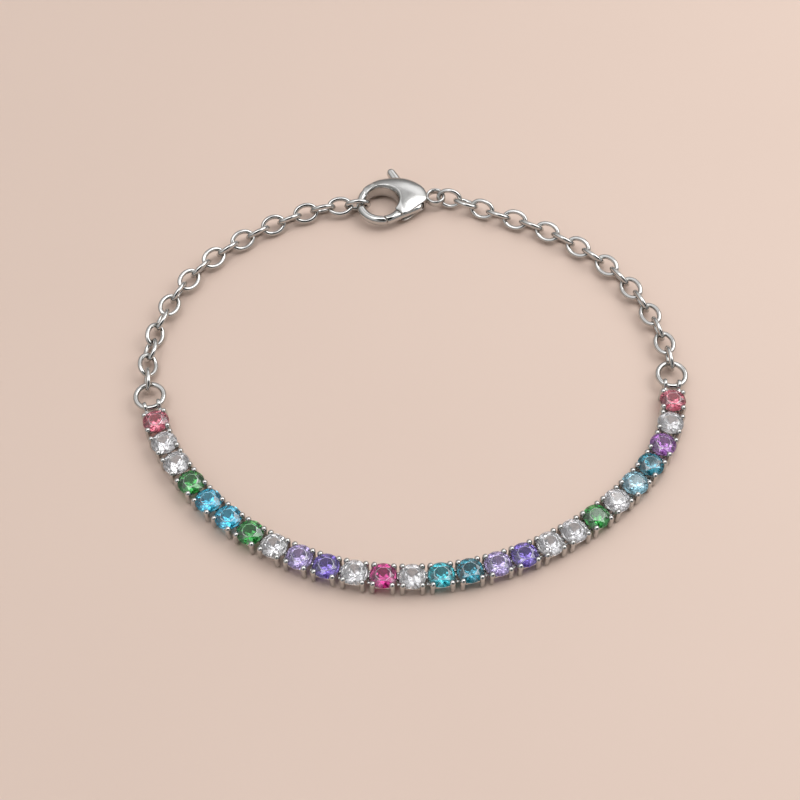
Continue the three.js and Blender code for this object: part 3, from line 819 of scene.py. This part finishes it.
def bore(clasp, radius, x, y):
    """What is cut out for a straight hole through the whole clasp."""
    rim = [(x + px, y + py) for px, py in circle(radius, 64)]
    return loft([[(px, py, share * clasp.thickness) for px, py in rim] for share in (-0.5, 1.5)])


def opening_cutter(clasp):
    """What is cut out for the opening, wider at both faces so that its rim is round like wire."""
    return lathe([(clasp.opening + flare, share * clasp.thickness) for share, flare in OPENING_FLARE], 96)


def hull_plate(ends, thickness, z):
    """A flat plate round two or more round ends, each (x, y, radius)."""
    spots = sorted({(x + px, y + py) for x, y, radius in ends for px, py in circle(radius, 48)})

    def chain(points):
        line = []
        for p in points:
            while len(line) > 1:
                (ax, ay), (bx, by) = line[-2], line[-1]
                if (bx - ax) * (p[1] - ay) - (by - ay) * (p[0] - ax) > 1e-9:
                    break
                line.pop()
            line.append(p)
        return line[:-1]

    rim = chain(spots) + chain(reversed(spots))
    return loft([[(x, y, z + end * thickness / 2) for x, y in rim] for end in (-1, 1)])


def lever_arms(clasp):
    """The lever's two arms: where each ends, and its radius there and at the pivot."""
    path_radius = clasp.opening + clasp.wire / 2
    gate_angle = clasp.gate_root - math.radians(6)
    gate = Vector((path_radius * math.cos(gate_angle), path_radius * math.sin(gate_angle)))
    thumb = Vector((clasp.thumb_along, clasp.thumb_rise))
    return (gate, clasp.wire / 2, clasp.hub), (thumb, clasp.thumb, clasp.thumb * 1.35)


def rounded_arm(root, tip, root_radius, tip_radius, half_height, z):
    """A tapering arm, round at both ends, with an oval section."""
    ahead = (tip - root).normalized()
    across = Vector((-ahead.y, ahead.x))
    reach = (tip - root).length
    turns = [share * math.pi / 2 for share in (0.06, 0.2, 0.4, 0.6, 0.8, 1.0)]
    stations = []
    for turn in turns:
        stations.append((-root_radius * math.cos(turn), root_radius * math.sin(turn), math.sin(turn)))
    for turn in reversed(turns):
        stations.append((reach + tip_radius * math.cos(turn), tip_radius * math.sin(turn), math.sin(turn)))
    rings = []
    for along, half_width, fullness in stations:
        middle = root + ahead * along
        height = half_height * fullness ** 0.6
        ring = []
        for x, y in circle(1.0, 32):
            x, y = (math.copysign(abs(part) ** 0.85, part) for part in (x, y))
            spot = middle + across * half_width * x
            ring.append((spot.x, spot.y, z + height * y))
        rings.append(ring)
    return loft(rings)


def lever_room(clasp, grow, thickness, swings):
    """The room that the lever's two arms take over all the given swings, and the slot's mouth."""
    pivot = Vector((clasp.pivot_along, -clasp.pivot_drop))
    plates = []
    for tip, tip_radius, root_radius in lever_arms(clasp):
        ends = [(pivot.x, pivot.y, root_radius + grow)]
        for swing in swings:
            spot = pivot + Matrix.Rotation(swing, 2) @ (tip - pivot)
            ends.append((spot.x, spot.y, tip_radius + grow))
        plates.append(hull_plate(ends, thickness, clasp.thickness / 2))
    plates.append(hull_plate(SLOT_MOUTH, thickness, clasp.thickness / 2))
    return plates


def linked_object(name, data):
    made = bpy.data.objects.new(name, data)
    bpy.context.scene.collection.objects.link(made)
    return made


def cut_shape(surface, name, cuts, cell=0.0, smoothing=0):
    """A surface with others cut out of it. With a cell size it is joined and softened like a casting."""
    worked = linked_object(name, surface.mesh(name))
    used = [worked]

    def modify(kind, **settings):
        modifier = worked.modifiers.new(kind.lower(), kind)
        for key, value in settings.items():
            setattr(modifier, key, value)

    if cell:
        modify("REMESH", mode="VOXEL", voxel_size=cell)
    for cut in cuts:
        used.append(linked_object(f"{name}_cut", cut.mesh(f"{name}_cut")))
        modify("BOOLEAN", operation="DIFFERENCE", solver="EXACT", object=used[-1])
    if cell:
        modify("REMESH", mode="VOXEL", voxel_size=cell)
        modify("SMOOTH", factor=0.5, iterations=smoothing)
    evaluated = worked.evaluated_get(bpy.context.evaluated_depsgraph_get())
    shape = bpy.data.meshes.new_from_object(evaluated)
    used_meshes = [thing.data for thing in used]
    for thing in used:
        bpy.data.objects.remove(thing)
    corners = [corner.co.copy() for corner in shape.vertices]
    faces = [tuple(face.vertices) for face in shape.polygons]
    for mesh in (shape, *used_meshes):
        bpy.data.meshes.remove(mesh)
    return Surface().add(corners, faces)


class BRACELET_OT_stones(bpy.types.Operator):
    """Cuts the row's stones and sets each in its place"""

    bl_idname = "bracelet.stones"
    bl_label = "Stones"

    def execute(self, context):
        sizes, loop = sizes_of("bracelet_stones"), Loop()
        names = sorted(set(STONE_ROW))
        looks = {name: gemstone(f"{name}_stone", tuple(getattr(sizes, name))) for name in names}
        cut = brilliant(sizes)
        raised = Matrix.Translation((0, 0, sizes.culet + sizes.pavilion))
        for number, name in enumerate(STONE_ROW, 1):
            turn = math.radians(22.5 + 2 * math.sin(number * 1.7))
            place = loop.setting_place(number) @ raised @ Matrix.Rotation(turn, 4, "Z")
            digits = f"{number:02d}"
            finish_piece(cut, f"gem_{digits}", looks[name], f"stone_{digits}", place)
        return {"FINISHED"}


class BRACELET_OT_settings(bpy.types.Operator):
    """Makes the claw settings with their hinges and the ears at the row's ends"""

    bl_idname = "bracelet.settings"
    bl_label = "Settings"

    def execute(self, context):
        loop = Loop()
        silver = polished_silver("setting_silver", 0.01, 0.003)
        count = len(STONE_ROW)
        for number in range(1, count + 1):
            back = "ears" if number == count else "lug"
            front = "ears" if number == 1 else "fork"
            surface = setting_surface(loop.setting, loop.ring, back, front)
            place = loop.setting_place(number)
            digits = f"{number:02d}"
            finish_piece(surface, f"mount_{digits}", silver, f"setting_{digits}", place, 50)
        return {"FINISHED"}


class BRACELET_OT_jump_rings(bpy.types.Operator):
    """Makes the two jump rings in the ears at the row's ends"""

    bl_idname = "bracelet.jump_rings"
    bl_label = "Jump rings"

    def execute(self, context):
        loop = Loop()
        ring = loop.ring
        silver = polished_silver("ring_silver", 0.06, 0.004)
        surface = oval_link(ring.radius, ring.radius, ring.wire, 72, 22)
        reach = ring.reach + ring.radius
        for side, number, shift in (("right", len(STONE_ROW), -reach), ("left", 1, reach)):
            place = loop.setting_place(number) @ Matrix.Translation((shift, 0, ring.height))
            finish_piece(surface, f"jump_ring_{side}", silver, f"ring_{side}", place, 60)
        return {"FINISHED"}


class BRACELET_OT_chains(bpy.types.Operator):
    """Makes the two cable chains"""

    bl_idname = "bracelet.chains"
    bl_label = "Chains"

    def execute(self, context):
        loop = Loop()
        chain = loop.chain
        silver = polished_silver("chain_silver", 0.07, 0.005)
        link = oval_link((chain.pitch + chain.wire) / 2, (chain.width - chain.wire) / 2, chain.wire, 48, 18)
        for side, places in (("right", loop.right_links()), ("left", loop.left_links())):
            surface = Surface()
            for place in places:
                surface.join(link, place)
            finish_piece(surface, f"cable_{side}", silver, f"chain_{side}", smooth=60)
        return {"FINISHED"}


class BRACELET_OT_clasp_body(bpy.types.Operator):
    """Makes the clasp's domed body with its hook and eye"""

    bl_idname = "bracelet.clasp_body"
    bl_label = "Clasp body"

    def execute(self, context):
        loop = Loop()
        clasp = loop.clasp
        silver = polished_silver("clasp_silver", 0.14, 0.008)
        holes = [opening_cutter(clasp), bore(clasp, clasp.eye_radius, clasp.reach, 0)]
        surface = cut_shape(body_surface(clasp), "shell", holes)
        surface.join(arc_wire(clasp, clasp.hook_root, TURN + clasp.split, False, 1, 0.7))
        slots = lever_room(clasp, clasp.gap, clasp.wire + clasp.gap, (0, -clasp.swing / 2, -clasp.swing))
        surface = cut_shape(surface, "cast", slots, clasp.grain, 7)
        eye = oval_link(clasp.eye_radius, clasp.eye_radius, clasp.eye_wire, 64, 20)
        eye_stretch = Matrix.Diagonal((1, 1, 1.9, 1))
        surface.join(eye, Matrix.Translation((clasp.reach, 0, clasp.thickness / 2)) @ eye_stretch)
        finish_piece(surface, "clasp_shell", silver, "clasp_body", loop.clasp_place(), 40)
        return {"FINISHED"}


class BRACELET_OT_clasp_lever(bpy.types.Operator):
    """Makes the clasp's lever, and finishes the pin it turns on"""

    bl_idname = "bracelet.clasp_lever"
    bl_label = "Clasp lever"

    def execute(self, context):
        loop = Loop()
        clasp = loop.clasp
        silver = polished_silver("lever_silver", 0.07, 0.008)
        surface = Surface()
        pivot = Vector((clasp.pivot_along, -clasp.pivot_drop))
        half = clasp.wire / 2
        for tip, tip_radius, root_radius in lever_arms(clasp):
            surface.join(rounded_arm(pivot, tip, root_radius, tip_radius, half, clasp.thickness / 2))
        surface.join(arc_wire(clasp, clasp.split, clasp.gate_root, True, -1))
        pin_room = 0.06
        pin_hole = bore(clasp, clasp.pin + pin_room, pivot.x, pivot.y)
        surface = cut_shape(surface, "lever", [pin_hole], clasp.grain * 0.8, 8)
        finish_piece(
            surface, "clasp_trigger", silver, "clasp_lever", loop.clasp_place(), 40, "clasp_lever",
        )
        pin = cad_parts["clasp_pin"]
        pin.data.materials.clear()
        pin.data.materials.append(silver)
        return {"FINISHED"}


class BRACELET_OT_stage(bpy.types.Operator):
    """Lays the floor, and sets the lights and the camera"""

    bl_idname = "bracelet.stage"
    bl_label = "Stage"

    def execute(self, context):
        scene = context.scene
        look = scene.bracelet_stage
        target = Vector((-1.45, -4.994, 0)) * MM
        camera = linked_object("camera", bpy.data.cameras.new("camera"))
        camera.data.lens = 63
        camera.data.sensor_width = 36
        camera.data.clip_start = 0.005
        back = Vector((0, -math.cos(look.elevation), math.sin(look.elevation)))
        camera.location = target + back * look.distance
        camera.rotation_euler = (math.pi / 2 - look.elevation, 0, 0)
        scene.camera = camera
        half = 0.5
        corners = [(-half, -half, 0), (half, -half, 0), (half, half, 0), (-half, half, 0)]
        mesh = bpy.data.meshes.new("floor")
        mesh.from_pydata(corners, [], [(0, 1, 2, 3)])
        mesh.materials.append(pale_floor())
        linked_object("floor", mesh)
        light = linked_object("key_light", bpy.data.lights.new("key_light", "AREA"))
        light.data.energy = look.key
        light.data.size = 0.24
        light.location = (0.2, 0.08, 0.25)
        light.rotation_euler = (target - light.location).to_track_quat("-Z", "Y").to_euler()
        self.light_surroundings(scene)
        scene.view_settings.view_transform = "Standard"
        return {"FINISHED"}

    def light_surroundings(self, scene):
        """Soft grey light that grows upwards. The silver and the stones show the patches in it."""
        scene.world = bpy.data.worlds.new("studio")
        studio = Shader(scene.world)
        where = studio.node("ShaderNodeTexCoord", output="Generated")
        rise = studio.node("ShaderNodeSeparateXYZ", None, {0: where}, output="Z")
        sky = studio.node("ShaderNodeValToRGB", {"stops": (
            (0.0, (0.22, 0.215, 0.21, 1)), (0.2, (0.28, 0.277, 0.275, 1)), (0.5, (0.6, 0.6, 0.6, 1)),
            (0.72, (0.88, 0.88, 0.885, 1)), (0.9, (1.3, 1.3, 1.32, 1)), (1.0, (1.5, 1.5, 1.53, 1)),
        )}, {0: rise})

        def patch(under, towards, edge, soft, tone):
            """A round patch of light. edge is the cosine at its rim, soft how far in it fades."""
            inputs = {0: where, 1: Vector(towards).normalized()}
            facing = studio.node("ShaderNodeVectorMath", {"operation": "DOT_PRODUCT"}, inputs, output="Value")
            return studio.mix(((facing - edge) / soft).clamped(), under, tone)

        sky = patch(sky, (0.25, 0.72, 0.65), 0.94, 0.06, (1.5, 1.5, 1.52))
        sky = patch(sky, (0.0, 0.47, 0.88), 0.955, 0.04, (0.5, 0.5, 0.5))
        sky = patch(sky, (-0.03, -0.12, 0.99), 0.915, 0.1, (4.8, 4.8, 4.85))
        sky = patch(sky, (0.2, -0.55, 0.81), 0.845, 0.03, (0.0, 0.0, 0.0))
        glow = studio.node("ShaderNodeBackground", None, {"Color": sky})
        studio.node("ShaderNodeOutputWorld", None, {"Surface": glow})


OPERATORS = (
    BRACELET_OT_stage,
    BRACELET_OT_stones,
    BRACELET_OT_settings,
    BRACELET_OT_jump_rings,
    BRACELET_OT_chains,
    BRACELET_OT_clasp_body,
    BRACELET_OT_clasp_lever,
)


class BRACELET_PT_panel(bpy.types.Panel):
    """Lists the pieces of the bracelet"""

    bl_label = "Tennis Bracelet"
    bl_idname = "BRACELET_PT_panel"
    bl_space_type = "VIEW_3D"
    bl_region_type = "UI"
    bl_category = "Bracelet"

    def draw(self, context):
        for operator in OPERATORS:
            self.layout.operator(operator.bl_idname)
        for name, group in GROUPS.items():
            box = self.layout.box()
            box.label(text=group.__name__)
            for key in group.__annotations__:
                box.prop(getattr(context.scene, name), key)


def register():
    for name, group in GROUPS.items():
        bpy.utils.register_class(group)
        setattr(bpy.types.Scene, name, PointerProperty(type=group))
    for made in (*OPERATORS, BRACELET_PT_panel):
        bpy.utils.register_class(made)


def unregister():
    for made in reversed((*OPERATORS, BRACELET_PT_panel)):
        bpy.utils.unregister_class(made)
    for name, group in GROUPS.items():
        delattr(bpy.types.Scene, name)
        bpy.utils.unregister_class(group)


def main():
    register()
    for operator in OPERATORS:
        family, action = operator.bl_idname.split(".")
        getattr(getattr(bpy.ops, family), action)()


if __name__ == "__main__":
    main()
